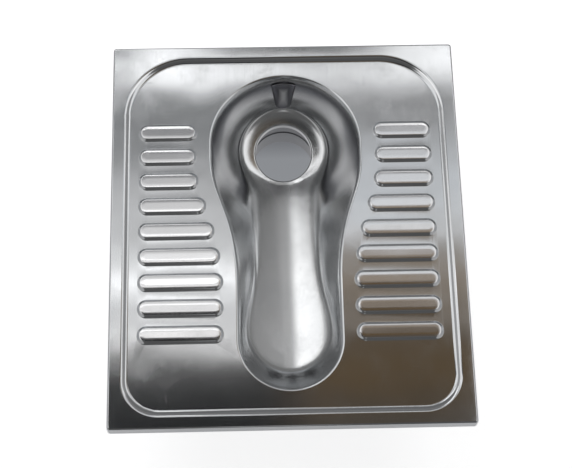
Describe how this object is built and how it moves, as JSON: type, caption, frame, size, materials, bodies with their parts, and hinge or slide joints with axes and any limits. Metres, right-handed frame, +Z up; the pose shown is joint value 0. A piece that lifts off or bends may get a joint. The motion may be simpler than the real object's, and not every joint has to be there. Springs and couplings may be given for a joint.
{
  "type": "squat toilet",
  "caption": "Stainless floor pan with a keyhole-shaped bowl between two ribbed treads, a flush hood at the rear and an outlet spigot below.",
  "frame": {"origin": "on the outlet's vertical axis, at the spigot's lower end", "axes": "+Z up; +Y to the rear, the way the flush inlet points and along the pan's length; +X to the right of a person who faces the rear"},
  "size_m": [0.52, 0.6, 0.195],
  "materials": {
    "brushed_stainless": "satin, brushed",
    "tube_stainless": "satin tube",
    "mill_stainless": "dull mill finish",
    "clip_steel": "bright stamped steel",
    "black_rubber": "matt moulded rubber",
    "damping_pad": "matt bitumen-rubber pad"
  },
  "bodies": {
    "root": {"deck_plate": "brushed_stainless", "bowl": "brushed_stainless", "flush_hood": "brushed_stainless", "inlet_pipe": "tube_stainless", "inlet_sleeve": "black_rubber", "inlet_clip": "clip_steel", "inlet_clip_screw": "clip_steel", "outlet_spigot": "tube_stainless", "outlet_seal": "black_rubber", "stiffener_left": "mill_stainless", "stiffener_right": "mill_stainless", "tread_pad_left": "damping_pad", "tread_pad_right": "damping_pad", "bowl_pad": "damping_pad", "anchor_front_left": "mill_stainless", "anchor_front_right": "mill_stainless", "anchor_middle_left": "mill_stainless", "anchor_middle_right": "mill_stainless", "anchor_rear_left": "mill_stainless", "anchor_rear_right": "mill_stainless", "earth_tag": "mill_stainless"}
  },
  "joints": []
}
